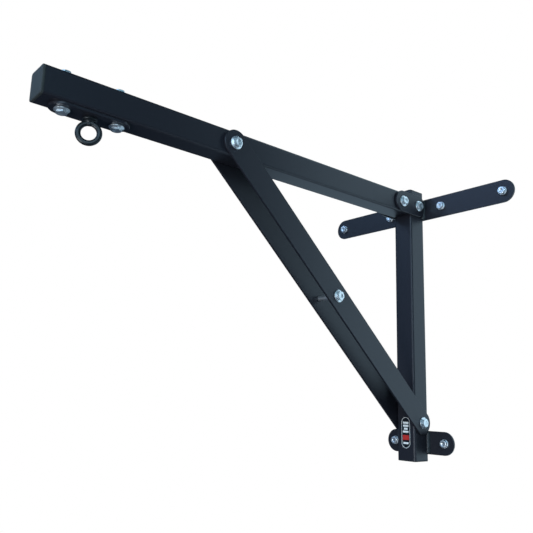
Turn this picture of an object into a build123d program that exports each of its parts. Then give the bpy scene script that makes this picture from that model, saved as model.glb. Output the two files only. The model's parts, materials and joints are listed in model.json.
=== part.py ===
from build123d import *
import math
import os

# Wall-mounted bracket that carries a punch bag: a post with two wall plates, a
# straight arm held in a clevis, a diagonal brace of two flat bars and a swivelling
# bag eye.
# Frame: the origin is the centre of the upper wall plate's back face. Y = 0 is
# the wall, the arm points to -Y, +X is the right side seen from the front.

os.makedirs("parts", exist_ok=True)

# Stock
TUBE = 50.0
TUBE_WALL = 3.0
TUBE_CORNER = 5.0
SHEET = 5.0
FLAT_WIDTH = 52.0
SIDE_GAP = 0.5
EDGE_EASE = 0.7

# Wall plates
UPPER_PLATE_LENGTH = 530.0
LOWER_PLATE_LENGTH = 185.0
LOWER_PLATE_Z = -556.0
UPPER_BOLT_X = (-238.0, -77.0, 77.0, 238.0)
LOWER_BOLT_X = (-69.0, 69.0)

# Post and arm
POST_Y = -SHEET - TUBE / 2
POST_TOP = 41.0
POST_BOTTOM = -595.0
POST_CAP_LIP = 3.0
ARM_Z = 4.0
ARM_FRONT = -961.0
ARM_REAR = -62.0
ARM_CAP_LIP = 5.0
PLUG_DEPTH = 18.0
PLUG_WALL = 2.5
PLUG_GAP = 0.3
PLUG_CORNER = 1.5
CAP_ROUND = 1.2

# Cross bolts, as (Y, Z) of each axis
ARM_PIVOT = (-89.0, ARM_Z)
CLEVIS_POST = (POST_Y, ARM_Z)
BRACE_ARM = (-594.0, ARM_Z)
BRACE_POST = (POST_Y, -512.0)
CLEVIS_REAR_Y = -11.0
CLEVIS_CORNER = 8.0

# M12 fasteners
BOLT_RADIUS = 6.0
THREAD_INSET = 0.1
NUT_BORE_RADIUS = 5.95
HOLE_RADIUS = 6.5
BOLT_LENGTH = 80.0
PLATE_BOLT_LENGTH = 65.0
THREAD_LENGTH = 30.0
HEX_FLATS = 18.0
NUT_HEIGHT = 12.0
NUT_HEX_HEIGHT = 8.0
PLAIN_NUT_HEIGHT = 10.0
NUT_COLLAR_INSET = 0.9
NUT_COLLAR_ROUND = 1.4
WASHER_RADIUS = 12.0
WASHER_THICK = 2.5
WASHER_EASE = 0.3
THREAD_CHAMFER = 1.2
FLANGE_PROFILE = ((13.0, 0.4), (13.0, 1.6), (12.5, 2.0), (10.0, 3.6))
FLANGE_HEAD_HEIGHT = 7.5

# M10 wall bolts
WALL_BOLT_RADIUS = 5.0
WALL_BOLT_LENGTH = 30.0
WALL_HOLE_RADIUS = 5.5
WALL_HEX_FLATS = 16.0
WALL_HEAD_HEIGHT = 6.4
WALL_WASHER_RADIUS = 10.0
WALL_WASHER_THICK = 2.0
RELIEF_RADIUS = 4.2
RELIEF_WIDTH = 1.8

# Bag eye and its plate
EYE_Y = -873.0
EYE_Z = -52.0
EYE_TURN = 25.0
EYE_MAJOR = 17.25
EYE_MINOR = 4.75
EYE_SHANK = 5.0
EYE_THREAD = 4.9
EYE_RUNNING_GAP = 0.05
EYE_END_FLOAT = 0.3
COLLAR_RADIUS = 12.0
COLLAR_THICK = 4.5
COLLAR_ROUND = 0.8
EYE_THREAD_PAST_NUT = 2.0
EYE_NUT_FLATS = 17.0
EYE_NUT_HEIGHT = 10.0
EYE_NUT_HEX_HEIGHT = 6.5
EYE_WASHER_RADIUS = 10.0
EYE_WASHER_THICK = 2.0
NUT_POCKET_RADIUS = 13.0
EYE_PLATE_WIDTH = 44.0
EYE_BOLT_STEP = 48.0

# Label on the post
LABEL_WIDTH = 26.0
LABEL_HEIGHT = 71.0
LABEL_THICK = 0.4
LABEL_Z = -534.5

# Weld beads
WELD_LEG = 6.0
WELD_LENGTH = 48.0
WELD_BULGE = 0.6

ARM_TOP = ARM_Z + TUBE / 2
ARM_UNDERSIDE = ARM_Z - TUBE / 2
EYE_PLATE_BOTTOM = ARM_UNDERSIDE - SHEET
INNER_X = TUBE / 2 + SIDE_GAP
OUTER_X = INNER_X + SHEET
DOWN = (0, 0, -1)
UP = (0, 0, 1)


def write(name, shape):
    """Write one node's STEP file."""
    shape.label = name
    export_step(shape, f"parts/{name}.step")


def placed(shape, origin, direction):
    """Turn a shape's own +Z to a direction and move its origin to a point."""
    return Plane(origin=origin, z_dir=direction).location * shape


def rod(radius, start, end):
    """A straight round bar between two points."""
    axis = Vector(*end) - Vector(*start)
    return extrude(Plane(origin=start, z_dir=axis) * Circle(radius), axis.length)


def cross_hole(point):
    """A cutter along X through the whole bracket at a (Y, Z) point."""
    return rod(HOLE_RADIUS, (-TUBE, *point), (TUBE, *point))


def square_tube(length):
    """A rounded square tube along +Z, centred on its own axis."""
    inner = TUBE - 2 * TUBE_WALL
    section = RectangleRounded(TUBE, TUBE, TUBE_CORNER)
    section -= RectangleRounded(inner, inner, TUBE_CORNER - TUBE_WALL)
    return extrude(section, length)


def end_cap(lip):
    """A push-in plastic cap: its lip stands on +Z, its plug hangs below."""
    cap = extrude(RectangleRounded(TUBE, TUBE, TUBE_CORNER), lip)
    cap = fillet(cap.faces().sort_by(Axis.Z)[-1].edges(), CAP_ROUND)
    outer = TUBE - 2 * TUBE_WALL - 2 * PLUG_GAP
    ring = RectangleRounded(outer, outer, PLUG_CORNER)
    ring -= Rectangle(outer - 2 * PLUG_WALL, outer - 2 * PLUG_WALL)
    cap += extrude(ring, -PLUG_DEPTH)
    for across in (Rectangle(outer, PLUG_WALL), Rectangle(PLUG_WALL, outer)):
        cap += extrude(across, -PLUG_DEPTH / 2)
    return cap


def flat_bar(length, width, thick, holes):
    """A flat bar with round ends and a row of (position, radius) holes.

    It lies along X, centred, and is thick along +Z.
    """
    bar = extrude(SlotOverall(length, width), thick)
    for end in (0, -1):
        rim = bar.faces().sort_by(Axis.Z)[end].edges()
        bar = chamfer(rim, EDGE_EASE)
    for x, radius in holes:
        bar -= Pos(x, 0, thick / 2) * Cylinder(radius, 2 * thick)
    return bar


def hexagon(flats, height, chamfer_ends):
    """A hexagonal prism on Z = 0 whose corners are turned off at some ends."""
    corner_radius = flats / math.sqrt(3)
    prism = extrude(RegularPolygon(flats / 2, 6, major_radius=False), height)
    blank = Pos(0, 0, height / 2) * Cylinder(corner_radius, height)
    ease = (corner_radius - flats / 2) * 1.1
    for end in chamfer_ends:
        rim = blank.edges().filter_by(GeomType.CIRCLE).sort_by(Axis.Z)[end]
        blank = chamfer(rim, ease * 0.6, ease)
    return prism & blank


def bolt_shank(radius, length, thread):
    """A shank that hangs from Z = 0, with a chamfered, threaded end."""
    plain = length - thread
    shank = Pos(0, 0, -plain / 2) * Cylinder(radius, plain)
    end = Pos(0, 0, -plain - thread / 2) * Cylinder(radius - THREAD_INSET, thread)
    end = chamfer(end.edges().filter_by(GeomType.CIRCLE).sort_by(Axis.Z)[0], THREAD_CHAMFER)
    return shank + end


def flange_bolt(length):
    """An M12 bolt with a flanged hexagon head, its bearing face on Z = 0."""
    foot = (FLANGE_PROFILE[0][0] - FLANGE_PROFILE[0][1], 0)
    top = FLANGE_PROFILE[-1][1]
    profile = make_face(Polyline((0, 0), foot, *FLANGE_PROFILE, (0, top), close=True))
    skirt = revolve(Plane.XZ * profile, Axis.Z)
    head = skirt + hexagon(HEX_FLATS, FLANGE_HEAD_HEIGHT, (-1,))
    return head + bolt_shank(BOLT_RADIUS, length, THREAD_LENGTH)


def wall_bolt():
    """A plain M10 hexagon bolt, its bearing face on Z = 0.

    Its thread starts at a relief groove, just behind the wall plate.
    """
    plain = WALL_WASHER_THICK + SHEET
    bolt = hexagon(WALL_HEX_FLATS, WALL_HEAD_HEIGHT, (-1,))
    bolt += bolt_shank(WALL_BOLT_RADIUS, WALL_BOLT_LENGTH, WALL_BOLT_LENGTH - plain)
    groove = Cylinder(WALL_HOLE_RADIUS, RELIEF_WIDTH) - Cylinder(RELIEF_RADIUS, RELIEF_WIDTH)
    return bolt - Pos(0, 0, -plain - RELIEF_WIDTH / 2) * groove


def washer(radius, bore, thick):
    """A flat washer on Z = 0."""
    disc = extrude(Circle(radius) - Circle(bore), thick)
    rims = disc.edges().filter_by(GeomType.CIRCLE).sort_by(SortBy.RADIUS)[-2:]
    return chamfer(rims, WASHER_EASE)


def lock_nut(flats, hex_height, height, bore):
    """A lock nut on Z = 0: a hexagon with a domed insert collar above it."""
    body = hexagon(flats, hex_height, (0, -1))
    collar_radius = flats / 2 - NUT_COLLAR_INSET
    collar = Pos(0, 0, height / 2) * Cylinder(collar_radius, height)
    collar = fillet(collar.edges().filter_by(GeomType.CIRCLE).sort_by(Axis.Z)[-1], NUT_COLLAR_ROUND)
    nut = body + collar
    nut -= Pos(0, 0, height / 2) * Cylinder(bore, 2 * height)
    return nut


def plain_nut():
    """A plain M12 nut on Z = 0."""
    nut = hexagon(HEX_FLATS, PLAIN_NUT_HEIGHT, (0, -1))
    return nut - Pos(0, 0, PLAIN_NUT_HEIGHT / 2) * Cylinder(NUT_BORE_RADIUS, 2 * PLAIN_NUT_HEIGHT)


def write_cross_bolt(name, point):
    """A flange bolt through a (Y, Z) point, with the washer and lock nut on its left."""
    left = (-1, 0, 0)
    bolt = flange_bolt(BOLT_LENGTH)
    write(f"{name}_bolt", placed(bolt, (OUTER_X, *point), (1, 0, 0)))
    ring = washer(WASHER_RADIUS, HOLE_RADIUS, WASHER_THICK)
    write(f"{name}_washer", placed(ring, (-OUTER_X, *point), left))
    nut = lock_nut(HEX_FLATS, NUT_HEX_HEIGHT, NUT_HEIGHT, NUT_BORE_RADIUS)
    write(f"{name}_nut", placed(nut, (-OUTER_X - WASHER_THICK, *point), left))


def write_plate_bolt(name, y):
    """A flange bolt from below the eye plate, with a plain nut on top of the arm."""
    bolt = flange_bolt(PLATE_BOLT_LENGTH)
    write(f"{name}_bolt", placed(bolt, (0, y, EYE_PLATE_BOTTOM), DOWN))
    write(f"{name}_nut", placed(plain_nut(), (0, y, ARM_TOP), UP))


def wall_post():
    """The upright tube, drilled for the clevis bolt and the brace bolt."""
    post = Pos(0, POST_Y, POST_BOTTOM) * square_tube(POST_TOP - POST_BOTTOM)
    return post - cross_hole(CLEVIS_POST) - cross_hole(BRACE_POST)


def arm_tube():
    """The arm, drilled for its pivot, the brace and the eye plate's bolts."""
    length = ARM_REAR - ARM_FRONT
    arm = placed(square_tube(length), (0, ARM_FRONT, ARM_Z), (0, 1, 0))
    arm -= cross_hole(ARM_PIVOT)
    arm -= cross_hole(BRACE_ARM)
    for y in (EYE_Y - EYE_BOLT_STEP, EYE_Y + EYE_BOLT_STEP):
        arm -= rod(HOLE_RADIUS, (0, y, ARM_UNDERSIDE - 1), (0, y, ARM_TOP + 1))
    pocket_top = ARM_UNDERSIDE + 2 * TUBE_WALL
    arm -= rod(NUT_POCKET_RADIUS, (0, EYE_Y, ARM_UNDERSIDE - 1), (0, EYE_Y, pocket_top))
    return arm


def wall_plate(length, z, bolt_xs):
    """A flat bar against the wall, with its holes for the wall bolts."""
    bar = flat_bar(length, FLAT_WIDTH, SHEET, [(x, WALL_HOLE_RADIUS) for x in bolt_xs])
    return Pos(0, 0, z) * (Rot(90, 0, 0) * bar)


def plate_welds():
    """Fillet beads in the corners between the post's sides and the wall plates."""
    beads = []
    corner = -SHEET
    for z in (0.0, LOWER_PLATE_Z):
        for side in (-1, 1):
            x = side * TUBE / 2
            with BuildPart() as bead:
                with BuildSketch(Plane.XY.offset(z - WELD_LENGTH / 2)):
                    with BuildLine():
                        foot = (x + side * WELD_LEG, corner)
                        top = (x, corner - WELD_LEG)
                        bulge = (x + side * WELD_LEG * WELD_BULGE, corner - WELD_LEG * WELD_BULGE)
                        Line((x, corner), foot)
                        ThreePointArc(foot, bulge, top)
                        Line(top, (x, corner))
                    make_face()
                extrude(amount=WELD_LENGTH)
            beads.append(bead.part)
    return Compound(children=beads)


def side_outline(start, end):
    """A face in the Y-Z plane with a round end about each of two points."""
    along = Vector(0, *end) - Vector(0, *start)
    middle = (Vector(0, *start) + Vector(0, *end)) * 0.5
    plane = Plane(origin=middle, x_dir=along, z_dir=(1, 0, 0))
    return plane * SlotOverall(along.length + FLAT_WIDTH, FLAT_WIDTH)


def cheek(blank, side, points):
    """A flat blank made on X = 0, eased, drilled and set on one side of the tubes."""
    for end in (0, -1):
        blank = chamfer(blank.faces().sort_by(Axis.X)[end].edges(), EDGE_EASE)
    inner = INNER_X if side > 0 else -OUTER_X
    blank = Pos(inner, 0, 0) * blank
    for point in points:
        blank -= cross_hole(point)
    return blank


def clevis_plate(side):
    """One cheek of the clevis: round about the arm's pivot, square on the post."""
    plate = extrude(side_outline(ARM_PIVOT, CLEVIS_POST), SHEET)
    plate -= Pos(0, CLEVIS_REAR_Y + FLAT_WIDTH / 2, ARM_Z) * Box(4 * SHEET, FLAT_WIDTH, 2 * FLAT_WIDTH)
    corners = plate.edges().filter_by(Axis.X).sort_by(Axis.Y)[-2:]
    return cheek(fillet(corners, CLEVIS_CORNER), side, (ARM_PIVOT, CLEVIS_POST))


def brace_bar(side):
    """One of the brace's two flat bars, from the arm's side to the post's side."""
    bar = extrude(side_outline(BRACE_ARM, BRACE_POST), SHEET)
    return cheek(bar, side, (BRACE_ARM, brace_middle(), BRACE_POST))


def brace_middle():
    """The (Y, Z) point half way between the brace's end bolts."""
    return tuple((a + b) / 2 for a, b in zip(BRACE_ARM, BRACE_POST))


def eye_plate():
    """The round-ended plate under the arm that carries the swivelling eye."""
    length = 2 * EYE_BOLT_STEP + EYE_PLATE_WIDTH
    shank_hole = EYE_SHANK + EYE_RUNNING_GAP
    holes = [(-EYE_BOLT_STEP, HOLE_RADIUS), (0, shank_hole), (EYE_BOLT_STEP, HOLE_RADIUS)]
    bar = flat_bar(length, EYE_PLATE_WIDTH, SHEET, holes)
    return Pos(0, EYE_Y, EYE_PLATE_BOTTOM) * (Rot(0, 0, 90) * bar)


def bag_eye():
    """A forged ring with its collar and shank, turned about the shank."""
    collar_top = EYE_PLATE_BOTTOM - EYE_END_FLOAT
    neck_bottom = EYE_Z + EYE_MAJOR - EYE_MINOR * 0.8
    collar_bottom = collar_top - COLLAR_THICK
    ring = Pos(0, 0, EYE_Z) * (Rot(0, 90, 0) * Torus(EYE_MAJOR, EYE_MINOR))
    collar = Pos(0, 0, collar_top - COLLAR_THICK / 2) * Cylinder(COLLAR_RADIUS, COLLAR_THICK)
    collar = fillet(collar.edges().filter_by(GeomType.CIRCLE).sort_by(Axis.Z)[-1], COLLAR_ROUND)
    neck_height = collar_bottom - neck_bottom
    neck = Pos(0, 0, neck_bottom + neck_height / 2) * Cone(EYE_MINOR, COLLAR_RADIUS, neck_height)
    washer_top = ARM_UNDERSIDE + EYE_END_FLOAT + EYE_WASHER_THICK
    shank = rod(EYE_SHANK, (0, 0, collar_bottom), (0, 0, washer_top))
    tip = washer_top + EYE_NUT_HEIGHT + EYE_THREAD_PAST_NUT
    thread = rod(EYE_THREAD, (0, 0, washer_top), (0, 0, tip))
    thread = chamfer(thread.edges().filter_by(GeomType.CIRCLE).sort_by(Axis.Z)[-1], 1.0)
    eye = ring + collar + neck + shank + thread
    return Pos(0, EYE_Y, 0) * (Rot(0, 0, -EYE_TURN) * eye)


def write_eye_fastening():
    """The washer and lock nut on the eye's shank, above the eye plate."""
    base = ARM_UNDERSIDE + EYE_END_FLOAT
    ring = washer(EYE_WASHER_RADIUS, EYE_SHANK + EYE_RUNNING_GAP, EYE_WASHER_THICK)
    write("eye_washer", Pos(0, EYE_Y, base) * ring)
    nut = lock_nut(EYE_NUT_FLATS, EYE_NUT_HEX_HEIGHT, EYE_NUT_HEIGHT, EYE_THREAD + EYE_RUNNING_GAP)
    write("eye_nut", Pos(0, EYE_Y, base + EYE_WASHER_THICK) * nut)


def write_wall_bolts(name, xs, z):
    """One wall plate's bolts and washers, each kind a group of solids."""
    toward_room = (0, -1, 0)
    bolts = []
    washers = []
    for x in xs:
        bolts.append(placed(wall_bolt(), (x, -SHEET - WALL_WASHER_THICK, z), toward_room))
        ring = washer(WALL_WASHER_RADIUS, WALL_HOLE_RADIUS, WALL_WASHER_THICK)
        washers.append(placed(ring, (x, -SHEET, z), toward_room))
    write(f"{name}_wall_bolts", Compound(children=bolts))
    write(f"{name}_wall_washers", Compound(children=washers))


def post_label():
    """A thin round-ended badge on the post's front face."""
    plane = Plane(origin=(0, POST_Y - TUBE / 2, LABEL_Z), x_dir=(0, 0, 1), z_dir=(0, -1, 0))
    return extrude(plane * SlotOverall(LABEL_HEIGHT, LABEL_WIDTH), LABEL_THICK)


def main():
    write("wall_post", wall_post())
    write("post_top_cap", placed(end_cap(POST_CAP_LIP), (0, POST_Y, POST_TOP), UP))
    write("post_bottom_cap", placed(end_cap(POST_CAP_LIP), (0, POST_Y, POST_BOTTOM), DOWN))
    write("upper_wall_plate", wall_plate(UPPER_PLATE_LENGTH, 0, UPPER_BOLT_X))
    write("lower_wall_plate", wall_plate(LOWER_PLATE_LENGTH, LOWER_PLATE_Z, LOWER_BOLT_X))
    write("plate_welds", plate_welds())
    write_wall_bolts("upper", UPPER_BOLT_X, 0)
    write_wall_bolts("lower", LOWER_BOLT_X, LOWER_PLATE_Z)
    write("clevis_plate_right", clevis_plate(1))
    write("clevis_plate_left", clevis_plate(-1))
    write("arm_tube", arm_tube())
    write("arm_end_cap", placed(end_cap(ARM_CAP_LIP), (0, ARM_FRONT, ARM_Z), (0, -1, 0)))
    write("brace_bar_right", brace_bar(1))
    write("brace_bar_left", brace_bar(-1))
    cross_bolts = {
        "arm_pivot": ARM_PIVOT,
        "clevis_post": CLEVIS_POST,
        "brace_arm": BRACE_ARM,
        "brace_middle": brace_middle(),
        "brace_post": BRACE_POST,
    }
    for name, point in cross_bolts.items():
        write_cross_bolt(name, point)
    write("eye_plate", eye_plate())
    write_plate_bolt("eye_plate_front", EYE_Y - EYE_BOLT_STEP)
    write_plate_bolt("eye_plate_rear", EYE_Y + EYE_BOLT_STEP)
    write("bag_eye", bag_eye())
    write_eye_fastening()
    write("post_label", post_label())


main()
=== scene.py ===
"""Looks of a wall bracket that carries a punch bag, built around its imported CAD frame.

Lengths in the fastener, weld, cap and label code are millimetres. Everything
placed in the scene is in metres, in the frame of the CAD model.
"""

import json
import math
import random

import bmesh
import bpy
from mathutils import Matrix, Vector


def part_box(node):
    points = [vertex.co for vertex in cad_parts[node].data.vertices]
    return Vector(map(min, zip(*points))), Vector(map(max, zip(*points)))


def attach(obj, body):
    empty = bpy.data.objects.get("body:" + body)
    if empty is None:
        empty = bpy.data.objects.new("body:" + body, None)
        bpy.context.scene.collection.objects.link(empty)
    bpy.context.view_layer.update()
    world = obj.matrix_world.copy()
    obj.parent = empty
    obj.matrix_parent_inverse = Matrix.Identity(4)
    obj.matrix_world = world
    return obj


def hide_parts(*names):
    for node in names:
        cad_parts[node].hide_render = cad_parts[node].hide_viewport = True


bl_info = {
    "name": "Punch bag wall bracket",
    "version": (1, 0, 0),
    "blender": (4, 5, 0),
    "location": "3D View > Sidebar > Bracket",
    "description": "Finishes, fasteners, welds and stage of a punch bag wall bracket",
    "category": "Object",
}

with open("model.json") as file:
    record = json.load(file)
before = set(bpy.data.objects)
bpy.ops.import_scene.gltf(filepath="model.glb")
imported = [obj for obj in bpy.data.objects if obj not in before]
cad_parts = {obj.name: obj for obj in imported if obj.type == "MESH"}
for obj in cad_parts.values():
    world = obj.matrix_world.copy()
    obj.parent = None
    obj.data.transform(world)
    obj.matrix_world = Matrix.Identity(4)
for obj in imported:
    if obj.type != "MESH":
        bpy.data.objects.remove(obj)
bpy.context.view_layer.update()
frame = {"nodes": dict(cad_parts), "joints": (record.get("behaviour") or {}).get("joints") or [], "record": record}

MM = 0.001
SEED = 12
SEGMENTS = 72
FLOOR_SEGMENTS = 96
SHARP_ANGLE = math.radians(34)

STEELWORK = (
    "arm_tube",
    "wall_post",
    "brace_bar_right",
    "brace_bar_left",
    "clevis_plate_right",
    "clevis_plate_left",
    "upper_wall_plate",
    "lower_wall_plate",
    "eye_plate",
)
CROSS_BOLTS = ("arm_pivot", "clevis_post", "brace_arm", "brace_middle", "brace_post")
PLATE_BOLTS = ("eye_plate_front", "eye_plate_rear")
WALL_ROWS = ("upper", "lower")
TOWARD_RIGHT = Vector((1, 0, 0))
TOWARD_ROOM = Vector((0, -1, 0))
UP = Vector((0, 0, 1))
DOWN = Vector((0, 0, -1))
CAPS = (
    ("arm_end_cap", "arm_tube", TOWARD_ROOM),
    ("post_top_cap", "wall_post", UP),
    ("post_bottom_cap", "wall_post", DOWN),
)

# Any hexagon head or nut: the flat of its turned end, the slope of its cut
# corners, and the chamfer of a bore or a bolt's point
HEX_RIM = 0.96
CORNER_SLOPE = 0.5
BORE_CHAMFER = 0.9
POINT_CHAMFER = 1.2
FILLET = 0.5

# M12 fasteners, as the CAD has them
HEX_FLATS = 18.0
SHANK_RADIUS = 6.0
THREAD_RADIUS = 5.9
SHOWN_THREAD = 14.0
FLANGE_HEAD_HEIGHT = 7.5
NUT_HEX_HEIGHT = 8.0
NUT_HEIGHT = 12.0
NUT_BORE = 5.1
INSERT_BORE = 5.4
PLAIN_NUT_HEIGHT = 10.0

# M10 wall bolts
WALL_HEX_FLATS = 16.0
WALL_HEAD_HEIGHT = 6.4
WALL_SHANK_RADIUS = 5.0
WALL_THREAD_RADIUS = 4.9
WALL_BOLT_LENGTH = 30.0
WALL_BOLT_PLAIN = 7.0
WALL_THREAD_PITCH = 1.5
WALL_WASHER_FACE = 0.4
WALL_BOLT_SEGMENTS = 48
RELIEF_RADIUS = 4.2
RELIEF_WIDTH = 1.8

# M10 bag eye
RING_MAJOR = 17.25
RING_MINOR = 4.75
RING_TURN = math.radians(25)
EYE_COLLAR_RADIUS = 12.0
EYE_COLLAR_THICK = 4.5
EYE_SHANK_RADIUS = 5.0
EYE_END_FLOAT = 0.3
EYE_THREAD_RADIUS = 4.9
EYE_THREAD_PITCH = 1.5
EYE_THREAD_SHARE = 0.85
EYE_NUT_FLATS = 17.0
EYE_NUT_HEX_HEIGHT = 6.5
EYE_NUT_HEIGHT = 10.0
EYE_NUT_BORE = 4.2
EYE_INSERT_BORE = 4.4
EYE_NUT_TURN = 0.3
MELT_CELL = 0.55
MELT_ROUNDS = 10

# Tube and caps
TUBE = 50.0
TUBE_CORNER = 5.0
CAP_PLUG_INSET = 3.3
CAP_PLUG_WALL = 2.5
CAP_PLUG_DEPTH = 18.0

# Colours that wear and dirt bring out, and colours of painted highlights on edges
# Paint rubbed at the edges, lightened also as a painted highlight
RUBBED_POWDER_AND_EDGE_HIGHLIGHT = (0.070, 0.085, 0.100, 1.0)
WARM_ZINC = (0.60, 0.585, 0.52, 1.0)
# A painted highlight on the edges of zinc
ZINC_EDGE_HIGHLIGHT = (0.86, 0.88, 0.90, 1.0)
# A painted highlight on the edges of black plastic
PLASTIC_EDGE_HIGHLIGHT = (0.15, 0.19, 0.22, 1.0)
BARE_FORGING = (0.05, 0.05, 0.052, 1.0)

SENSOR_WIDTH = 36.0

# Lights: name, place, aim, size and radiance, in metres and linear colour
MIDDLE = (0.0, -0.5, -0.25)
PANELS = (
    ("wall_side_right", (0.44, 0.5, -0.1), (0.44, -1.0, -0.1), (1.03, 3.2), (0.83, 1.13, 1.30)),
    ("wall_side_edge", (0.80, 0.49, -0.1), (0.80, -1.0, -0.1), (0.30, 3.2), (0.66, 0.94, 1.08)),
    ("wall_side_left", (-0.68, 0.5, -0.1), (-0.68, -1.0, -0.1), (1.20, 3.2), (0.40, 0.56, 0.68)),
    ("sky", (-1.7, -2.7, 1.85), MIDDLE, (1.6, 1.0), (2.4, 3.6, 5.6)),
    ("middle_sky", (-2.4, -2.3, 1.70), MIDDLE, (0.8, 1.1), (0.45, 0.85, 1.25)),
    ("low_sky", (-1.9, -2.7, 0.10), MIDDLE, (1.6, 0.8), (0.18, 0.30, 0.46)),
    ("left_sky", (-2.9, -1.4, 1.4), MIDDLE, (1.4, 2.0), (0.02, 0.08, 0.14)),
    ("right", (2.75, -0.7, 1.3), MIDDLE, (1.2, 2.5), (0.04, 0.22, 0.26)),
    ("corner", (2.2, -1.9, 0.3), MIDDLE, (1.3, 2.7), (1.7, 2.3, 2.7)),
    ("cap_corner", (1.1, -3.0, 1.05), MIDDLE, (1.8, 1.2), (2.0, 3.3, 4.4)),
    ("front", (0.35, -2.4, -0.9), (0.0, 0.0, -0.4), (0.8, 0.8), (10.6, 11.4, 12.0)),
)


class Wire:
    """A number in a material, on which Python's operators add Math nodes."""

    def __init__(self, graph, socket):
        self.graph = graph
        self.socket = socket

    def __add__(self, other):
        return self.graph.maths("ADD", self, other)

    def __radd__(self, other):
        return self.graph.maths("ADD", other, self)

    def __sub__(self, other):
        return self.graph.maths("SUBTRACT", self, other)

    def __rsub__(self, other):
        return self.graph.maths("SUBTRACT", other, self)

    def __mul__(self, other):
        return self.graph.maths("MULTIPLY", self, other)

    def __rmul__(self, other):
        return self.graph.maths("MULTIPLY", other, self)

    def __abs__(self):
        return self.graph.maths("ABSOLUTE", self)


class Graph:
    """The calls that fill the node tree of a new material or world."""

    def __init__(self, owner):
        owner.use_nodes = True
        self.owner = owner
        self.tree = owner.node_tree
        self.tree.nodes.clear()

    def node(self, kind, settings=None, sockets=None, out=0):
        """Add a node, set it up, fill its sockets and return one output."""
        made = self.tree.nodes.new(kind)
        for key, value in (settings or {}).items():
            setattr(made, key, value)
        for key, value in (sockets or {}).items():
            if isinstance(value, Wire):
                self.tree.links.new(value.socket, made.inputs[key])
            else:
                made.inputs[key].default_value = value
        return Wire(self, made.outputs[out]) if made.outputs else None

    def maths(self, operation, *values):
        """A Math node's result."""
        return self.node("ShaderNodeMath", {"operation": operation}, dict(enumerate(values)))

    def larger(self, first, second):
        """The larger of two numbers."""
        return self.maths("MAXIMUM", first, second)

    def place(self):
        """The point on the surface in the CAD frame, as a vector."""
        return self.node("ShaderNodeTexCoord", out="Object")

    def axes(self, vector):
        """A vector's three numbers."""
        split = self.node("ShaderNodeSeparateXYZ", None, {0: vector})
        outputs = split.socket.node.outputs
        return [Wire(self, outputs[index]) for index in range(3)]

    def noise(self, vector, scale, detail=2.0, roughness=0.5):
        """Soft noise from 0 to 1, with scale in cells a metre."""
        sockets = {"Vector": vector, "Scale": scale, "Detail": detail, "Roughness": roughness}
        return self.node("ShaderNodeTexNoise", None, sockets)

    def fade(self, value, low, high, start=0.0, end=1.0):
        """A smooth step of a number from start at low to end at high."""
        sockets = {
            "Value": value, "From Min": low, "From Max": high, "To Min": start, "To Max": end,
        }
        return self.node("ShaderNodeMapRange", {"interpolation_type": "SMOOTHSTEP"}, sockets)

    def blend(self, factor, first, second):
        """A mix of two colours."""
        sockets = {0: factor, 6: first, 7: second}
        return self.node("ShaderNodeMix", {"data_type": "RGBA"}, sockets, 2)

    def stretched(self, vector, factors):
        """A vector scaled along each axis."""
        settings = {"operation": "MULTIPLY"}
        return self.node("ShaderNodeVectorMath", settings, {0: vector, 1: factors})

    def edges(self, radius):
        """0 on faces, rising on edges that are sharper than a radius in metres."""
        rounded = self.node("ShaderNodeBevel", {"samples": 4}, {"Radius": radius})
        plain = self.node("ShaderNodeNewGeometry", out="Normal")
        settings = {"operation": "DOT_PRODUCT"}
        return 1.0 - self.node("ShaderNodeVectorMath", settings, {0: rounded, 1: plain}, 1)

    def bump(self, height, strength, distance):
        """A Normal from a height map."""
        sockets = {"Height": height, "Strength": strength, "Distance": distance}
        return self.node("ShaderNodeBump", None, sockets)

    def finish(self, sockets):
        """End in a Principled shader with these sockets and return the material."""
        surface = self.node("ShaderNodeBsdfPrincipled", None, sockets)
        self.node("ShaderNodeOutputMaterial", None, {"Surface": surface})
        return self.owner


def rgba(colour):
    """A colour property's value with full alpha."""
    return (*colour[:3], 1.0)


def shade(colour, factor):
    """A colour made lighter or darker."""
    return (*(channel * factor for channel in colour[:3]), 1.0)


def powder_coat(name, colour, roughness, seed):
    """Satin powder paint: orange peel, a fine grain, rubbed edges that also carry a painted highlight, and faint
    scuffs.
    """
    graph = Graph(bpy.data.materials.new(name))
    place = graph.place()
    offset = (seed, 0.3 * seed, 0.7)
    shifted = graph.node("ShaderNodeVectorMath", {"operation": "ADD"}, {0: place, 1: offset})
    peel = graph.noise(shifted, 520.0, 1.5)
    grain = graph.noise(shifted, 2600.0, 2.0)
    cloud = graph.noise(shifted, 9.0, 4.0, 0.6)
    streaks = graph.noise(graph.stretched(shifted, (60.0, 7.0, 22.0)), 6.0, 5.0, 0.7)
    scuff = graph.fade(streaks, 0.63, 0.72)
    edge = graph.fade(graph.edges(0.0012), 0.012, 0.11)
    # Edges rubbed through the paint, and lightened as a painted highlight where they would catch light
    worn_and_highlit_edge = edge * graph.fade(graph.noise(shifted, 70.0, 4.0, 0.65), 0.42, 0.62)
    ground = graph.blend(cloud, shade(colour, 0.82), shade(colour, 1.25))
    ground = graph.blend(scuff * 0.22, ground, shade(colour, 2.6))
    ground = graph.blend(worn_and_highlit_edge * 0.6, ground, RUBBED_POWDER_AND_EDGE_HIGHLIGHT)
    gloss = roughness + 0.07 * (cloud - 0.5) + 0.05 * (grain - 0.5) + 0.10 * scuff
    relief = peel * 0.75 + grain * 0.25 - scuff * 0.12
    return graph.finish({
        "Base Color": ground,
        "Roughness": gloss,
        "IOR": 1.33,
        "Normal": graph.bump(relief, 0.22, 0.00012),
    })


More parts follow.
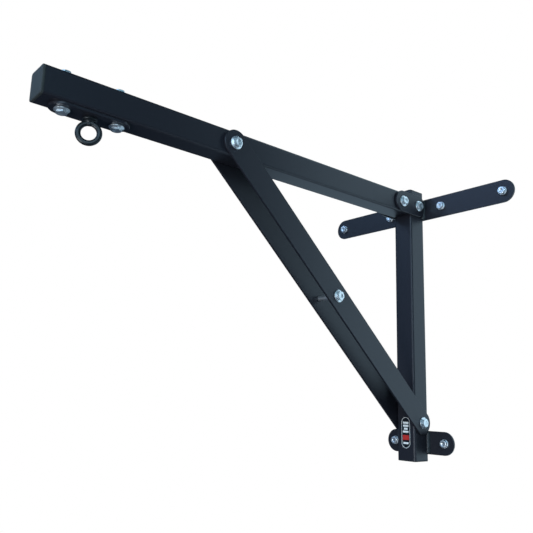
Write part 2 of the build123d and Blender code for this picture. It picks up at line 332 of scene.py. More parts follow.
def zinc_plate(name, colour, roughness):
    """Bright zinc on steel: a cloudy film with warm patches, a painted highlight on the edges and fine grain."""
    graph = Graph(bpy.data.materials.new(name))
    place = graph.place()
    film = graph.noise(place, 160.0, 3.0, 0.6)
    patch = graph.noise(place, 45.0, 2.0)
    grain = graph.noise(place, 2400.0, 3.0, 0.6)
    edge = graph.fade(graph.edges(0.0006), 0.02, 0.16)
    ground = graph.blend(film, shade(colour, 0.86), rgba(colour))
    ground = graph.blend(graph.fade(patch, 0.52, 0.7) * 0.35, ground, WARM_ZINC)
    # Painted highlight: edges lightened towards bright zinc
    ground = graph.blend(edge * 0.5, ground, ZINC_EDGE_HIGHLIGHT)
    gloss = roughness + 0.16 * (film - 0.5) + 0.08 * (grain - 0.5)
    return graph.finish({
        "Base Color": ground,
        "Metallic": 1.0,
        "Roughness": gloss,
        "Normal": graph.bump(grain * 0.6 + film * 0.4, 0.16, 0.00008),
    })


def moulded_plastic(name, colour, roughness):
    """Injection-moulded plastic with a fine spark-eroded grain and a painted highlight on its edges."""
    graph = Graph(bpy.data.materials.new(name))
    place = graph.place()
    sockets = {"Vector": place, "Scale": 1500.0}
    cells = graph.node("ShaderNodeTexVoronoi", {"feature": "F1"}, sockets)
    swirl = graph.noise(place, 40.0, 4.0, 0.6)
    edge = graph.fade(graph.edges(0.0012), 0.02, 0.2)
    ground = graph.blend(swirl, shade(colour, 0.85), shade(colour, 1.2))
    # Painted highlight: edges lightened towards a pale colour
    ground = graph.blend(edge * 0.5, ground, PLASTIC_EDGE_HIGHLIGHT)
    gloss = roughness + 0.10 * (swirl - 0.5) + 0.05 * cells
    return graph.finish({
        "Base Color": ground,
        "Roughness": gloss,
        "IOR": 1.33,
        "Normal": graph.bump(cells, 0.18, 0.00006),
    })


def forged_paint(name, colour, roughness, rub_height):
    """Thick black paint on a forging, rubbed at the foot of the ring where a hook hangs."""
    graph = Graph(bpy.data.materials.new(name))
    place = graph.place()
    hammer = graph.noise(place, 240.0, 3.0, 0.55)
    scale = graph.noise(place, 900.0, 3.0, 0.6)
    height = graph.axes(place)[2]
    rub = graph.fade(height, rub_height + 0.004, rub_height) * graph.fade(scale, 0.4, 0.62)
    ground = graph.blend(hammer, shade(colour, 0.8), shade(colour, 1.3))
    ground = graph.blend(rub * 0.3, ground, BARE_FORGING)
    gloss = roughness + 0.12 * (hammer - 0.5) + 0.08 * rub
    return graph.finish({
        "Base Color": ground,
        "Roughness": gloss,
        "Coat Weight": 0.25,
        "Coat Roughness": 0.18,
        "Normal": graph.bump(hammer * 0.7 + scale * 0.3, 0.3, 0.00035),
    })


def printed_label(name, ground_colour, mark_colour, accent_colour, middle, size):
    """A black badge with a thin light border, plain bars and one coloured bar."""
    graph = Graph(bpy.data.materials.new(name))
    place = graph.place()
    x, _, z = graph.axes(place)
    radius = size[0] / 2
    straight = size[1] / 2 - radius
    up = z - middle[2]
    past_end = graph.larger(abs(up) - straight, 0.0)
    reach = graph.maths("SQRT", x * x + past_end * past_end)
    line = 0.0006
    border = graph.fade(abs(reach - (radius - 3 * line)), line, 0.6 * line)
    soft = 0.00012

    def bar(centre, half_height, half_width):
        """1 inside a bar, centre metres above the badge's middle."""
        inside_z = graph.fade(abs(up - centre), half_height + soft, half_height - soft)
        inside_x = graph.fade(abs(x), half_width + soft, half_width - soft)
        return inside_z * inside_x

    step = size[1] / 15
    marks = border
    for index, width in ((4.6, 0.30), (3.2, 0.30), (1.8, 0.20), (0.4, 0.30), (-4.9, 0.28)):
        marks = graph.larger(marks, bar(index * step, 0.46 * step, width * size[0]))
    accent = bar(-2.3 * step, 1.15 * step, 0.34 * size[0])
    wear = graph.fade(graph.noise(place, 1400.0, 3.0, 0.7), 0.3, 0.42)
    ground = graph.blend(marks * wear, rgba(ground_colour), rgba(mark_colour))
    ground = graph.blend(accent, ground, rgba(accent_colour))
    film = graph.noise(place, 300.0, 2.0)
    return graph.finish({
        "Base Color": ground,
        "Roughness": 0.32 + 0.12 * (film - 0.5),
        "Normal": graph.bump(marks * 0.5 + accent * 0.5 + film * 0.3, 0.25, 0.00005),
    })


def pale_floor(name, colour, glow):
    """A matt pale studio floor with a faint mottle, lit from inside like a light table."""
    graph = Graph(bpy.data.materials.new(name))
    place = graph.place()
    mottle = graph.noise(place, 5.0, 5.0, 0.6)
    ground = graph.blend(mottle, shade(colour, 0.96), rgba(colour))
    return graph.finish({
        "Base Color": ground,
        "Roughness": 0.75,
        "Emission Color": ground,
        "Emission Strength": glow,
        "Normal": graph.bump(mottle, 0.05, 0.002),
    })


def join_rings(build, rings, close=False):
    """Skin a list of vertex rings; a ring of one vertex is a point."""
    pairs = list(zip(rings, rings[1:]))
    if close:
        pairs.append((rings[-1], rings[0]))
    for near, far in pairs:
        count = max(len(near), len(far))
        for step in range(count):
            after = (step + 1) % count
            corners = [
                near[step % len(near)],
                near[after % len(near)],
                far[after % len(far)],
                far[step % len(far)],
            ]
            face = build.faces.new(list(dict.fromkeys(corners)))
            face.smooth = True


def value_at(amount, angle):
    """A row's radius or height, which is a number or a function of the angle."""
    return amount(angle) if callable(amount) else amount


def turn_rows(build, rows, place, segments=SEGMENTS, close=False):
    """Skin rows of (radius, height) about an axis. A radius of 0 is a point."""
    rings = []
    for radius, height in rows:
        if radius == 0:
            rings.append([build.verts.new(place @ Vector((0, 0, height)))])
            continue
        ring = []
        for step in range(segments):
            angle = math.tau * step / segments
            out = value_at(radius, angle)
            point = Vector((out * math.cos(angle), out * math.sin(angle), value_at(height, angle)))
            ring.append(build.verts.new(place @ point))
        rings.append(ring)
    join_rings(build, rings, close)


def rounded_outline(half_width, half_height, corner, steps=8):
    """Points of a rounded rectangle, anticlockwise."""
    points = []
    for quarter in range(4):
        side = 1 if quarter in (0, 3) else -1
        top = 1 if quarter in (0, 1) else -1
        for step in range(steps + 1):
            angle = math.pi / 2 * (quarter + step / steps)
            x = side * (half_width - corner) + corner * math.cos(angle)
            y = top * (half_height - corner) + corner * math.sin(angle)
            points.append((x, y))
    return points


def stack_tiers(build, half_width, half_height, corner, tiers, place):
    """Skin a rounded rectangle's tiers of (inset, height); both ends are closed."""
    rings = [[build.verts.new(place @ Vector((0, 0, tiers[0][1])))]]
    for inset, height in tiers:
        tighter = max(corner - inset, 0.4)
        outline = rounded_outline(half_width - inset, half_height - inset, tighter)
        rings.append([build.verts.new(place @ Vector((x, y, height))) for x, y in outline])
    rings.append([build.verts.new(place @ Vector((0, 0, tiers[-1][1])))])
    join_rings(build, rings)


def make_object(build, name):
    """Turn a bmesh into an object in the scene."""
    bmesh.ops.recalc_face_normals(build, faces=build.faces)
    mesh = bpy.data.meshes.new(name)
    build.to_mesh(mesh)
    build.free()
    made = bpy.data.objects.new(name, mesh)
    bpy.context.scene.collection.objects.link(made)
    return made


def slot_material(slot):
    """The material that has a slot's name.

    Known fault: the frame brings its own flat materials under these names, so this
    finds those. The ones that BRACKET_OT_finishes makes for the same slots get a name
    ending in .001 and don't show. To repair it, keep what each finish returns and use
    that here, and then match the colours again.
    """
    return bpy.data.materials[slot]


def make_piece(build, name, body, slot, replaced=(), material=None):
    """Turn a bmesh into a piece that rides on a body and stands for CAD nodes."""
    piece = make_object(build, name)
    piece.data.set_sharp_from_angle(angle=SHARP_ANGLE)
    piece.data.materials.append(material or slot_material(slot))
    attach(piece, body)
    if replaced:
        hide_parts(*replaced)


def paint_nodes(names, slot):
    """Give CAD nodes a slot's material."""
    material = slot_material(slot)
    for name in names:
        node = frame["nodes"][name]
        if not node.material_slots:
            node.data.materials.append(material)
        for held in node.material_slots:
            held.material = material


def along(point, direction, turn=0.0):
    """The placement of a part made in millimetres: its +Z points in a direction."""
    facing = Vector(direction).to_track_quat("Z", "Y").to_matrix().to_4x4()
    spin = Matrix.Rotation(turn, 4, "Z")
    return Matrix.Translation(point) @ facing @ spin @ Matrix.Scale(MM, 4)


def side_of(node, direction):
    """The middle of the side of a CAD node's box that faces a direction."""
    low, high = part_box(node)
    half = (high - low) / 2
    return (low + high) / 2 + Vector(direction[axis] * half[axis] for axis in range(3))


def hexagon(flats):
    """A hexagon's radius at an angle, its corners a little rounded."""
    sharp = flats / math.sqrt(3)

    def radius(angle):
        off_middle = angle % (math.pi / 3) - math.pi / 6
        return min(flats / 2 / math.cos(off_middle), 0.985 * sharp)

    return radius


def cut_corners(flats, height, slope=CORNER_SLOPE):
    """The height of a hexagon's rim, whose corners are turned off in a cone."""
    radius = hexagon(flats)
    rim = HEX_RIM * flats / 2
    return lambda angle: height - slope * max(0.0, radius(angle) - rim)


def dished_top(height, rim):
    """Rows of a head's forged top, from its dished middle out to a rim radius."""
    dish = 0.55 * rim
    floor = height - 0.7
    wall = [(0.78 * dish, floor), (dish, height - 0.1), (1.06 * dish, height)]
    return [(0, floor), *wall, (rim, height)]


def flange_head():
    """Rows of a flanged hexagon head, from its top to the root of its shank."""
    radius = hexagon(HEX_FLATS)
    rim = HEX_RIM * HEX_FLATS / 2
    flange = [(12.45, 2.0), (12.85, 1.75), (13.0, 1.35), (13.0, 0.5), (12.85, 0.15), (12.4, 0.0)]

    def foot(angle):
        """The height at which the hexagon meets the flange's cone."""
        return 3.6 + 0.62 * (10.0 - radius(angle))

    rows = dished_top(FLANGE_HEAD_HEIGHT, rim)
    rows += [(radius, cut_corners(HEX_FLATS, FLANGE_HEAD_HEIGHT)), (radius, foot)]
    return rows + flange + [(SHANK_RADIUS + FILLET, 0.0), (SHANK_RADIUS, -FILLET)]


def plain_head():
    """Rows of a wall bolt's plain hexagon head with a washer face."""
    radius = hexagon(WALL_HEX_FLATS)
    rim = HEX_RIM * WALL_HEX_FLATS / 2
    rows = dished_top(WALL_HEAD_HEIGHT, rim)
    rows += [(radius, cut_corners(WALL_HEX_FLATS, WALL_HEAD_HEIGHT)), (radius, WALL_WASHER_FACE)]
    rows += [(rim, WALL_WASHER_FACE), (rim, 0.0)]
    return rows + [(WALL_SHANK_RADIUS + FILLET, 0.0), (WALL_SHANK_RADIUS, -FILLET)]


def thread(start, end, major, pitch, depth):
    """Rows of a helical thread from one height down to its chamfered point."""
    steps = 8
    count = math.ceil((start - end) / pitch * steps)
    rows = []
    for index in range(count + 1):
        height = start + (end - start) * index / count
        run_out = min(1.0, (start - height) / (1.5 * pitch))
        limit = major - max(0.0, POINT_CHAMFER - (height - end))

        def radius(angle, height=height, cut=run_out * depth, limit=limit):
            across = abs(2 * ((height / pitch + angle / math.tau) % 1) - 1)
            groove = min(1.0, max(0.0, (across - 0.12) / 0.7))
            return min(major - cut * groove, limit)

        rows.append((radius, height))
    return rows + [(0, end)]


def lock_nut(flats, hex_height, height, bore):
    """Closed rows of a lock nut's metal: hexagon, crimped collar and insert seat."""
    radius = hexagon(flats)
    collar = flats / 2 - 0.9
    rim = HEX_RIM * flats / 2
    seat = collar - 1.3
    return [
        (bore, BORE_CHAMFER),
        (bore + 1.0, 0.0),
        (rim, 0.0),
        (radius, cut_corners(flats, 0.0, -CORNER_SLOPE)),
        (radius, cut_corners(flats, hex_height)),
        (rim - 0.15, hex_height + 0.1),
        (collar, hex_height + 0.35),
        (collar, height - 1.5),
        (collar - 0.3, height - 0.7),
        (collar - 0.8, height - 0.15),
        (seat + 0.15, height),
        (seat, height - 0.2),
        (seat, height - 3.2),
        (bore, height - 3.2),
    ]


def plain_nut():
    """Closed rows of a plain hexagon nut, turned off at both ends."""
    radius = hexagon(HEX_FLATS)
    rim = HEX_RIM * HEX_FLATS / 2
    return [
        (NUT_BORE, BORE_CHAMFER),
        (NUT_BORE + 1.0, 0.0),
        (rim, 0.0),
        (radius, cut_corners(HEX_FLATS, 0.0, -CORNER_SLOPE)),
        (radius, cut_corners(HEX_FLATS, PLAIN_NUT_HEIGHT)),
        (rim, PLAIN_NUT_HEIGHT),
        (NUT_BORE + 1.0, PLAIN_NUT_HEIGHT),
        (NUT_BORE, PLAIN_NUT_HEIGHT - BORE_CHAMFER),
    ]


def insert_ring(flats, height, bore):
    """Closed rows of the nylon ring in a lock nut."""
    outer = flats / 2 - 2.15
    top = height - 0.45
    return [
        (bore + 0.25, top - 2.6),
        (outer, top - 2.6),
        (outer, top - 0.3),
        (outer - 0.25, top),
        (bore + 0.9, top),
        (bore + 0.25, top - 0.5),
    ]


def build_flange_bolt(look, name, toward_head, turn):
    """One flange bolt, as long as the CAD has it, threaded at its end."""
    bearing = side_of(f"{name}_bolt", toward_head) - toward_head * FLANGE_HEAD_HEIGHT * MM
    length = (bearing - side_of(f"{name}_bolt", -toward_head)).length / MM
    plain = length - SHOWN_THREAD
    rows = flange_head() + [(SHANK_RADIUS, 0.4 - plain), (THREAD_RADIUS, -plain)]
    rows += thread(-plain, -length, THREAD_RADIUS, look.thread_pitch, look.thread_depth)
    bolt = bmesh.new()
    turn_rows(bolt, rows, along(bearing, toward_head, turn))
    make_piece(bolt, f"{name}_flange_bolt", "bracket", "zinc_plating", [f"{name}_bolt"])


def build_nut_metal(name, rows, seat, body, node):
    """A nut's zinc-plated metal from its closed rows. It stands for a CAD node."""
    build = bmesh.new()
    turn_rows(build, rows, seat, close=True)
    make_piece(build, name, body, "zinc_plating", [node])


def build_nut_insert(name, rows, seat, body):
    """A lock nut's nylon ring from its closed rows."""
    build = bmesh.new()
    turn_rows(build, rows, seat, close=True)
    nylon = bpy.data.materials["nylon_insert"]
    make_piece(build, name, body, "black_plastic", material=nylon)


def build_lock_nut(name, toward_head, turn):
    """One lock nut and its nylon ring."""
    seat = along(side_of(f"{name}_nut", toward_head), -toward_head, turn)
    metal = lock_nut(HEX_FLATS, NUT_HEX_HEIGHT, NUT_HEIGHT, NUT_BORE)
    build_nut_metal(f"{name}_lock_nut", metal, seat, "bracket", f"{name}_nut")
    ring = insert_ring(HEX_FLATS, NUT_HEIGHT, INSERT_BORE)
    build_nut_insert(f"{name}_nut_insert", ring, seat, "bracket")


def build_plain_nut(name, toward_head, turn):
    """One plain nut."""
    seat = along(side_of(f"{name}_nut", toward_head), -toward_head, turn)
    build_nut_metal(f"{name}_plain_nut", plain_nut(), seat, "bracket", f"{name}_nut")


def build_wall_bolts(look, row, rng):
    """One wall plate's hexagon bolts, each turned as it was tightened."""
    low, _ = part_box(f"{row}_wall_bolts")
    bearing_y = low.y + WALL_HEAD_HEIGHT * MM
    start = -WALL_BOLT_PLAIN - RELIEF_WIDTH
    rows = plain_head() + [
        (WALL_SHANK_RADIUS, -WALL_BOLT_PLAIN),
        (RELIEF_RADIUS, -WALL_BOLT_PLAIN - 0.1),
        (RELIEF_RADIUS, start + 0.5),
    ]
    depth = look.thread_depth * WALL_THREAD_PITCH / look.thread_pitch
    rows += thread(start, -WALL_BOLT_LENGTH, WALL_THREAD_RADIUS, WALL_THREAD_PITCH, depth)
    build = bmesh.new()
    for mount in frame["record"]["mounts"]:
        if mount["name"].startswith(f"{row}_wall_bolt"):
            x, _, z = mount["pos_m"]
            turn = rng.uniform(0, math.pi / 3)
            place = along((x, bearing_y, z), TOWARD_ROOM, turn)
            turn_rows(build, rows, place, WALL_BOLT_SEGMENTS)
    make_piece(build, f"{row}_hex_bolts", "bracket", "zinc_plating", [f"{row}_wall_bolts"])


def weld_bead(build, corner, side, length, leg, rng):
    """A fillet weld that runs up a corner, with the ripples of its passes.

    corner is the middle of the inside corner, in metres, and side is -1 or 1.
    """
    across_steps = 10
    step = 0.4
    count = round(length / step)
    ripple = rng.uniform(2.3, 2.8)
    start = rng.uniform(0, ripple)
    sway = rng.uniform(0, math.tau)
    rings = []
    for index in range(count + 1):
        up = -length / 2 + length * index / count
        from_end = min(index, count - index) * step
        swell = 0.83 + 0.14 * min(1.0, from_end / 3.0) + 0.03 * math.sin(0.35 * up + sway)
        ring = [build.verts.new(corner + Vector((0, 0, up)) * MM)]
        for across in range(across_steps + 1):
            angle = math.pi / 2 * across / across_steps
            crown = max(0.0, math.sin(2 * angle))
            phase = ((up + start - 1.3 * crown) / ripple) % 1
            dip = 0.42 * (2 * phase - 1) ** 2 * math.sqrt(crown)
            out = leg * swell * (1 - 0.14 * crown) - dip
            point = Vector((side * out * math.cos(angle), -out * math.sin(angle), up))
            ring.append(build.verts.new(corner + point * MM))
        rings.append(ring)
    join_rings(build, rings)
    for ring in (rings[0], rings[-1]):
        build.faces.new(ring)


def eye_blank(centre_height, neck_top):
    """A ring and its neck as overlapping closed solids on the swivel axis."""
    build = bmesh.new()
    round_steps = 96
    section_steps = 28
    rings = []
    for step in range(round_steps):
        turn = math.tau * step / round_steps
        ring = []
        for index in range(section_steps):
            angle = math.tau * index / section_steps
            out = RING_MAJOR + RING_MINOR * math.cos(angle)
            aside = RING_MINOR * math.sin(angle)
            height = centre_height + out * math.cos(turn)
            ring.append(build.verts.new((aside, out * math.sin(turn), height)))
        rings.append(ring)
    join_rings(build, rings, close=True)
    foot = centre_height + RING_MAJOR - 0.8 * RING_MINOR
    rise = neck_top - foot
    waist = [(0.0, 1.0), (0.25, 1.04), (0.5, 1.16), (0.75, 1.5), (0.92, 1.95), (1.0, 2.3)]
    rows = [(0, foot)]
    rows += [(RING_MINOR * width, foot + rise * part) for part, width in waist]
    rows.append((0, neck_top))
    turn_rows(build, rows, Matrix.Identity(4), 48)
    return build


def smooth_union(build, cell, rounds):
    """Melt overlapping solids, in millimetres, into one skin with soft corners."""
    blank = make_object(build, "blank")
    mesh = blank.data
    remesh = blank.modifiers.new("melt", "REMESH")
    remesh.mode = "VOXEL"
    remesh.voxel_size = cell
    soften = blank.modifiers.new("soften", "SMOOTH")
    soften.factor = 0.5
    soften.iterations = rounds
    bpy.context.view_layer.update()
    seen = blank.evaluated_get(bpy.context.evaluated_depsgraph_get())
    melted = bpy.data.meshes.new_from_object(seen)
    bpy.data.objects.remove(blank)
    bpy.data.meshes.remove(mesh)
    return melted


def build_bag_eye(look):
    """The forged ring on its collar, the threaded shank, and its lock nut."""
    axis = Vector(frame["joints"][0]["pos_m"])
    axis.z = 0
    low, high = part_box("bag_eye")
    centre_height = low.z / MM + RING_MAJOR + RING_MINOR
    collar_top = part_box("eye_plate")[0].z / MM - EYE_END_FLOAT
    collar_foot = collar_top - EYE_COLLAR_THICK
    skin = smooth_union(eye_blank(centre_height, collar_foot + 0.8), MELT_CELL, MELT_ROUNDS)
    build = bmesh.new()
    build.from_mesh(skin)
    bpy.data.meshes.remove(skin)
    for face in build.faces:
        face.smooth = True
    collar = [
        (0, collar_foot),
        (EYE_COLLAR_RADIUS - 1.6, collar_foot),
        (EYE_COLLAR_RADIUS - 0.6, collar_foot + 0.35),
        (EYE_COLLAR_RADIUS, collar_foot + 1.2),
        (EYE_COLLAR_RADIUS, collar_top - 0.8),
        (EYE_COLLAR_RADIUS - 0.25, collar_top - 0.25),
        (EYE_COLLAR_RADIUS - 0.8, collar_top),
        (EYE_SHANK_RADIUS, collar_top),
    ]
    tip = high.z / MM
    thread_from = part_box("eye_washer")[1].z / MM
    depth = look.thread_depth * EYE_THREAD_SHARE
    shank = thread(-thread_from, -tip, EYE_THREAD_RADIUS, EYE_THREAD_PITCH, depth)
    rows = collar + [(EYE_SHANK_RADIUS, thread_from)]
    rows += [(radius, -height) for radius, height in shank]
    turn_rows(build, rows, Matrix.Identity(4))
    spin = Matrix.Rotation(-RING_TURN, 4, "Z")
    place = Matrix.Translation(axis) @ spin @ Matrix.Scale(MM, 4)
    bmesh.ops.transform(build, matrix=place, verts=build.verts)
    make_piece(build, "forged_bag_eye", "eye", "black_eye_paint", ["bag_eye"])

    seat = along(side_of("eye_nut", DOWN), UP, EYE_NUT_TURN)
    metal = lock_nut(EYE_NUT_FLATS, EYE_NUT_HEX_HEIGHT, EYE_NUT_HEIGHT, EYE_NUT_BORE)
    build_nut_metal("eye_lock_nut", metal, seat, "eye", "eye_nut")
    ring = insert_ring(EYE_NUT_FLATS, EYE_NUT_HEIGHT, EYE_INSERT_BORE)
    build_nut_insert("eye_nut_insert", ring, seat, "eye")


def build_end_cap(node, outward, lip):
    """A push-in cap: a crowned lip, a shadow groove at the tube and a hollow plug."""
    build = bmesh.new()
    base = side_of(node, outward) - outward * lip * MM
    half = TUBE / 2
    tiers = [
        (CAP_PLUG_INSET + CAP_PLUG_WALL, -1.0),
        (CAP_PLUG_INSET + CAP_PLUG_WALL, -CAP_PLUG_DEPTH),
        (CAP_PLUG_INSET + 0.8, -CAP_PLUG_DEPTH),
        (CAP_PLUG_INSET, -CAP_PLUG_DEPTH + 1.5),
        (CAP_PLUG_INSET, 0.0),
        (0.45, 0.0),
        (0.05, 0.35),
        (0.0, 0.7),
        (0.0, lip - 1.9),
        (0.25, lip - 1.25),
        (0.8, lip - 0.75),
        (1.6, lip - 0.45),
        (4.0, lip - 0.3),
        (10.0, lip - 0.12),
        (18.0, lip - 0.02),
        (23.0, lip),
    ]
    stack_tiers(build, half, half, TUBE_CORNER, tiers, along(base, outward))
    make_piece(build, f"{node}_moulding", "bracket", "black_plastic", [node])


def build_label(look):
    """The round-ended badge on the post: a thin plate with a softly domed face."""
    low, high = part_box("post_label")
    size = (high.x - low.x, high.z - low.z)
    middle = (low + high) / 2
    thick = (high.y - low.y) / MM
    half_width = size[0] / 2 / MM
    tiers = [(0.1, 0.0), (0.0, 0.1), (0.0, 0.55 * thick)]
    tiers += [(0.12, 0.8 * thick), (0.4, 0.95 * thick), (1.2, thick)]
    build = bmesh.new()
    place = Matrix.Translation((middle.x, high.y, middle.z))
    place = place @ Matrix.Rotation(math.pi / 2, 4, "X") @ Matrix.Scale(MM, 4)
    stack_tiers(build, half_width, size[1] / 2 / MM, half_width, tiers, place)
    colours = (look.label_colour, look.label_mark, look.label_accent)
    badge = printed_label("label_print", *colours, middle, size)
    make_piece(build, "post_badge", "bracket", "label_print", ["post_label"], badge)


def soft_panel(name, place, aim, size, radiance):
    """A rectangular light that faces a point and that the camera doesn't see.

    radiance is the colour its face shows: power is radiance times area times pi.
    """
    data = bpy.data.lights.new(name, "AREA")
    data.shape = "RECTANGLE"
    data.size = size[0]
    data.size_y = size[1]
    brightest = max(radiance)
    data.energy = brightest * size[0] * size[1] * math.pi
    data.color = [channel / brightest for channel in radiance]
    light = bpy.data.objects.new(name, data)
    bpy.context.scene.collection.objects.link(light)
    light.location = place
    light.rotation_euler = (Vector(aim) - Vector(place)).to_track_quat("-Z", "Y").to_euler()
    light.visible_camera = False


def build_world(stage):
    """White behind the object, and a dimmer cool room to light and reflect in it."""
    graph = Graph(bpy.data.worlds.new("studio"))
    seen = graph.node("ShaderNodeBackground", None, {"Color": rgba(stage.backdrop)})
    room = graph.node("ShaderNodeBackground", None, {"Color": rgba(stage.room_colour)})
    by_camera = graph.node("ShaderNodeLightPath", out="Is Camera Ray")
    picked = graph.node("ShaderNodeMixShader", None, {0: by_camera, 1: room, 2: seen})
    graph.node("ShaderNodeOutputWorld", None, {"Surface": picked})
    bpy.context.scene.world = graph.owner


def build_floor(stage):
    """A round pale floor below the bracket, with a rolled edge."""
    build = bmesh.new()
    radius = stage.floor_radius
    rows = [(0, 0.0)]
    rows += [(radius * part, 0.0) for part in (0.25, 0.5, 0.75, 0.95)]
    rows += [(radius, -0.01), (radius + 0.01, -0.03), (radius, -0.05), (0, -0.05)]
    place = Matrix.Translation((0, stage.camera_aim[1], stage.floor_height))
    turn_rows(build, rows, place, FLOOR_SEGMENTS)
    floor = make_object(build, "studio_floor")
    floor.data.materials.append(pale_floor("pale_floor", stage.floor_colour, stage.floor_glow))
    floor.visible_glossy = False
    floor.visible_diffuse = False


def build_camera(stage):
    """The camera, below the arm and to its right, rolled a little."""
    data = bpy.data.cameras.new("camera")
    data.sensor_width = SENSOR_WIDTH
    data.lens = stage.lens
    data.clip_start = 0.01
    camera = bpy.data.objects.new("camera", data)
    bpy.context.scene.collection.objects.link(camera)
    place = Vector(stage.camera_place)
    back = (place - Vector(stage.camera_aim)).normalized()
    level = UP.cross(back).normalized()
    head = back.cross(level)
    right = level * math.cos(stage.camera_roll) + head * math.sin(stage.camera_roll)
    axes = Matrix((right, back.cross(right), back)).transposed()
    camera.matrix_world = Matrix.Translation(place) @ axes.to_4x4()
    bpy.context.scene.camera = camera


def colour_property(name, description, default):
    """A linear colour with a picker."""
    return bpy.props.FloatVectorProperty(
        name=name, description=description, default=default, size=3, min=0.0, max=1.0,
        subtype="COLOR"
    )


class BracketLooks(bpy.types.PropertyGroup):
    """Colours and small sizes of the bracket's finishes and fasteners."""

    powder_colour: colour_property(
        "Powder coat", "Colour of the painted steel", (0.0048, 0.0070, 0.0095)
    )
    weld_colour: colour_property("Weld paint", "Colour of the painted welds", (0.21, 0.21, 0.205))
    powder_roughness: bpy.props.FloatProperty(
        name="Powder roughness", description="How satin the paint is",
        default=0.27, min=0.05, max=1.0
    )
    eye_colour: colour_property("Eye paint", "Colour of the forged ring", (0.004, 0.0055, 0.0075))
    zinc_colour: colour_property("Zinc", "Colour of the plated fasteners", (0.84, 0.80, 0.75))
    zinc_roughness: bpy.props.FloatProperty(
        name="Zinc roughness", description="How dull the plating is",
        default=0.27, min=0.05, max=1.0
    )
    plastic_colour: colour_property(
        "Caps", "Colour of the plastic end caps", (0.006, 0.008, 0.011)
    )
    nylon_colour: colour_property("Nut inserts", "Colour of the nylon rings", (0.02, 0.035, 0.06))
    label_colour: colour_property("Badge", "Ground colour of the badge", (0.006, 0.007, 0.009))
    label_mark: colour_property(
        "Badge marks", "Colour of the badge's border and bars", (0.92, 0.90, 0.87)
    )
    label_accent: colour_property(
        "Badge accent", "Colour of the badge's one bright bar", (0.55, 0.03, 0.025)
    )
    thread_pitch: bpy.props.FloatProperty(
        name="Thread pitch", description="Pitch of the M12 threads in millimetres",
        default=1.75, min=0.5
    )
    thread_depth: bpy.props.FloatProperty(
        name="Thread depth", description="Depth of the M12 threads in millimetres",
        default=0.95, min=0.1
    )


class BracketStage(bpy.types.PropertyGroup):
    """The floor, the backdrop, the room's light and the camera."""

    camera_place: bpy.props.FloatVectorProperty(
        name="Camera", description="Where the camera stands",
        default=(0.93976, -1.27277, -0.46982), subtype="TRANSLATION", unit="LENGTH"
    )
    camera_aim: bpy.props.FloatVectorProperty(
        name="Aim", description="The point in the middle of the picture",
        default=(0.03940, -0.51830, -0.22461), subtype="TRANSLATION", unit="LENGTH"
    )
    camera_roll: bpy.props.FloatProperty(
        name="Roll", description="Tilt of the camera about its own axis",
        default=math.radians(1.68), subtype="ANGLE", unit="ROTATION"
    )
    lens: bpy.props.FloatProperty(
        name="Lens", description="Focal length for a 36 mm sensor", default=43.04, unit="CAMERA"
    )
    backdrop: colour_property("Backdrop", "Colour seen behind the object", (1.0, 1.0, 1.0))
    room_colour: colour_property("Room", "Colour of the room's own light", (0.018, 0.034, 0.060))
    floor_colour: colour_property("Floor", "Colour of the floor", (0.80, 0.81, 0.82))
    floor_glow: bpy.props.FloatProperty(
        name="Floor glow", description="How much the floor shines by itself", default=0.9, min=0.0
    )
    floor_height: bpy.props.FloatProperty(
        name="Floor height", description="Height of the floor from the upper wall plate",
        default=-2.1, unit="LENGTH"
    )
    floor_radius: bpy.props.FloatProperty(
        name="Floor radius", description="Radius of the floor", default=3.2, unit="LENGTH"
    )


class BRACKET_OT_finishes(bpy.types.Operator):
    """Make the paint, zinc, plastic and nylon that the pieces share"""

    bl_idname = "bracket.finishes"
    bl_label = "Make the finishes"

    def execute(self, context):
        look = context.scene.bag_bracket.looks
        powder_coat("black_powder_coat", look.powder_colour, look.powder_roughness, 0.0)
        powder_coat("painted_weld", look.weld_colour, look.powder_roughness + 0.08, 4.0)
        zinc_plate("zinc_plating", look.zinc_colour, look.zinc_roughness)
        moulded_plastic("black_plastic", look.plastic_colour, 0.42)
        moulded_plastic("nylon_insert", look.nylon_colour, 0.38)
        forged_paint("black_eye_paint", look.eye_colour, 0.30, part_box("bag_eye")[0].z)
        return {"FINISHED"}


class BRACKET_OT_steelwork(bpy.types.Operator):
    """Paint the tubes, the brace, the clevis and the flat plates"""

    bl_idname = "bracket.steelwork"
    bl_label = "Paint the steelwork"

    def execute(self, context):
        paint_nodes(STEELWORK, "black_powder_coat")
        return {"FINISHED"}


class BRACKET_OT_welds(bpy.types.Operator):
    """Build the rippled fillet welds between the post and the wall plates"""

    bl_idname = "bracket.welds"
    bl_label = "Build the welds"

    def execute(self, context):
        rng = random.Random(SEED)
        weld_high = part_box("plate_welds")[1]
        post_low, post_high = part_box("wall_post")
        leg = (weld_high.x - post_high.x) / MM
        build = bmesh.new()
        for plate in ("upper_wall_plate", "lower_wall_plate"):
            plate_low, plate_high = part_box(plate)
            height = (plate_low.z + plate_high.z) / 2
            length = (plate_high.z - plate_low.z) / MM - 4
            for side, x in ((-1, post_low.x), (1, post_high.x)):
                corner = Vector((x, weld_high.y, height))
                weld_bead(build, corner, side, length, leg, rng)
        make_piece(build, "weld_beads", "bracket", "painted_weld", ["plate_welds"])
        return {"FINISHED"}


class BRACKET_OT_cross_bolts(bpy.types.Operator):
    """Build the flange bolts and lock nuts that hold the triangle and the eye plate"""

    bl_idname = "bracket.cross_bolts"
    bl_label = "Build the flange bolts"

    def execute(self, context):
        look = context.scene.bag_bracket.looks
        rng = random.Random(SEED + 1)
        for name in CROSS_BOLTS:
            turn = rng.uniform(0, math.pi / 3)
            build_flange_bolt(look, name, TOWARD_RIGHT, turn)
            build_lock_nut(name, TOWARD_RIGHT, 2.3 * turn)
        for name in PLATE_BOLTS:
            turn = rng.uniform(0, math.pi / 3)
            build_flange_bolt(look, name, DOWN, turn)
            build_plain_nut(name, DOWN, 2.3 * turn)
        return {"FINISHED"}


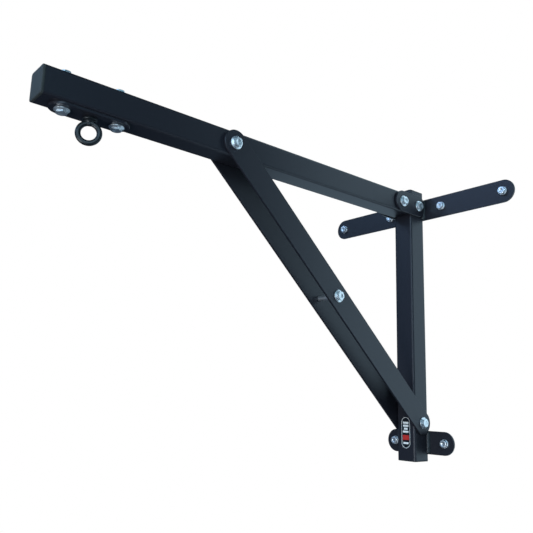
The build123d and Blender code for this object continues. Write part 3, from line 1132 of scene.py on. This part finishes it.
class BRACKET_OT_wall_bolts(bpy.types.Operator):
    """Build the hexagon bolts of both wall plates"""

    bl_idname = "bracket.wall_bolts"
    bl_label = "Build the wall bolts"

    def execute(self, context):
        rng = random.Random(SEED + 2)
        for row in WALL_ROWS:
            build_wall_bolts(context.scene.bag_bracket.looks, row, rng)
        return {"FINISHED"}


class BRACKET_OT_washers(bpy.types.Operator):
    """Plate every washer"""

    bl_idname = "bracket.washers"
    bl_label = "Plate the washers"

    def execute(self, context):
        names = [name for name in frame["nodes"] if name.endswith(("_washer", "_washers"))]
        paint_nodes(names, "zinc_plating")
        return {"FINISHED"}


class BRACKET_OT_bag_eye(bpy.types.Operator):
    """Build the swivelling bag eye and its lock nut"""

    bl_idname = "bracket.bag_eye"
    bl_label = "Build the bag eye"

    def execute(self, context):
        build_bag_eye(context.scene.bag_bracket.looks)
        return {"FINISHED"}


class BRACKET_OT_end_caps(bpy.types.Operator):
    """Build the plastic caps of the arm and the post"""

    bl_idname = "bracket.end_caps"
    bl_label = "Build the end caps"

    def execute(self, context):
        for cap, tube, outward in CAPS:
            lip = (side_of(cap, outward) - side_of(tube, outward)).dot(outward)
            build_end_cap(cap, outward, lip / MM)
        return {"FINISHED"}


class BRACKET_OT_label(bpy.types.Operator):
    """Build the badge on the post"""

    bl_idname = "bracket.label"
    bl_label = "Build the badge"

    def execute(self, context):
        build_label(context.scene.bag_bracket.looks)
        return {"FINISHED"}


class BRACKET_OT_stage(bpy.types.Operator):
    """Set up the floor, the lights, the world and the camera"""

    bl_idname = "bracket.stage"
    bl_label = "Set up the stage"

    def execute(self, context):
        stage = context.scene.bag_bracket.stage
        build_world(stage)
        build_floor(stage)
        build_camera(stage)
        for panel in PANELS:
            soft_panel(*panel)
        context.scene.view_settings.view_transform = "Standard"
        return {"FINISHED"}


PIECE_OPERATORS = (
    BRACKET_OT_finishes,
    BRACKET_OT_steelwork,
    BRACKET_OT_welds,
    BRACKET_OT_cross_bolts,
    BRACKET_OT_wall_bolts,
    BRACKET_OT_washers,
    BRACKET_OT_bag_eye,
    BRACKET_OT_end_caps,
    BRACKET_OT_label,
    BRACKET_OT_stage,
)


class BracketSettings(bpy.types.PropertyGroup):
    """Everything a user may change before the operators run."""

    looks: bpy.props.PointerProperty(
        type=BracketLooks, name="Looks", description="Finishes and fastener details"
    )
    stage: bpy.props.PointerProperty(
        type=BracketStage, name="Stage", description="Floor, lights and camera"
    )


class BRACKET_PT_build(bpy.types.Panel):
    """Lists the bracket's operators in the order they run"""

    bl_idname = "BRACKET_PT_build"
    bl_label = "Punch bag bracket"
    bl_space_type = "VIEW_3D"
    bl_region_type = "UI"
    bl_category = "Bracket"

    def draw(self, context):
        for operator in PIECE_OPERATORS:
            self.layout.operator(operator.bl_idname)


CLASSES = (BracketLooks, BracketStage, BracketSettings, *PIECE_OPERATORS, BRACKET_PT_build)


def register():
    """Register every class and the scene's settings."""
    for part in CLASSES:
        bpy.utils.register_class(part)
    bpy.types.Scene.bag_bracket = bpy.props.PointerProperty(
        type=BracketSettings, name="Bag bracket", description="Settings of the punch bag bracket"
    )


def unregister():
    """Take the settings and the classes away again."""
    del bpy.types.Scene.bag_bracket
    for part in reversed(CLASSES):
        bpy.utils.unregister_class(part)


def main():
    """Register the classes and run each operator."""
    register()
    for operator in PIECE_OPERATORS:
        group, action = operator.bl_idname.split(".")
        getattr(getattr(bpy.ops, group), action)()


if __name__ == "__main__":
    main()
